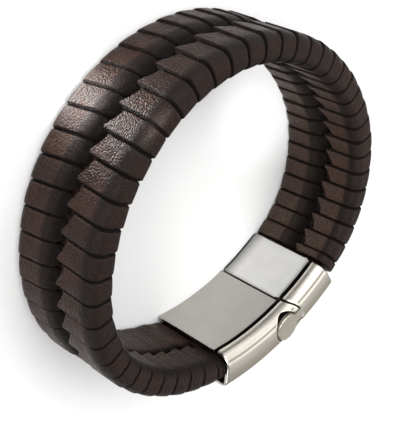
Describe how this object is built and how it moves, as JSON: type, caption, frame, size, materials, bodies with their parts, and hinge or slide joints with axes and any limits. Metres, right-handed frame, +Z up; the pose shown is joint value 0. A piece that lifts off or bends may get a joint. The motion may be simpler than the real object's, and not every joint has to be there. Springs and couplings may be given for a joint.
{
  "type": "leather bracelet",
  "caption": "Closed bracelet of two rows of leather tabs that meet in a zigzag groove, with a polished steel push-button clasp, lying on its side.",
  "frame": {"origin": "centre of the loop's bounding box, on the surface that the bracelet lies on", "axes": "+Z up through the loop, along the band's width, to the rail with the button; the clasp's middle is at -Y; +X runs along the clasp from its longer half to its shorter half"},
  "size_m": [0.0762, 0.0722, 0.02],
  "materials": {
    "leather": "dark brown, fine grain, semi-matt with a waxed sheen",
    "steel": "polished to a satin sheen",
    "button_steel": "fine brushed face, polished edge"
  },
  "bodies": {
    "bracelet": {"link_01": "leather", "link_02": "leather", "link_03": "leather", "link_04": "leather", "link_05": "leather", "link_06": "leather", "link_07": "leather", "link_08": "leather", "link_09": "leather", "link_10": "leather", "link_11": "leather", "link_12": "leather", "link_13": "leather", "link_14": "leather", "link_15": "leather", "link_16": "leather", "link_17": "leather", "link_18": "leather", "link_19": "leather", "link_20": "leather", "link_21": "leather", "link_22": "leather", "link_23": "leather", "link_24": "leather", "link_25": "leather", "link_26": "leather", "link_27": "leather", "link_28": "leather", "link_29": "leather", "link_30": "leather", "link_31": "leather", "link_32": "leather", "link_33": "leather", "link_34": "leather", "link_35": "leather", "link_36": "leather", "link_37": "leather", "link_38": "leather", "link_39": "leather", "link_40": "leather", "link_41": "leather", "link_42": "leather", "link_43": "leather", "end_tab": "leather", "core_strap": "leather", "box_shell": "steel", "box_plate": "steel", "tongue_shell": "steel", "tongue_plate": "steel"},
    "button": {"push_button": "button_steel"}
  },
  "joints": [
    {"name": "button_press", "type": "slide", "parent": "bracelet", "child": "button", "axis": [0, 0, -1], "range_m": [0, 0.001], "stiffness_N_per_m": 1500}
  ]
}
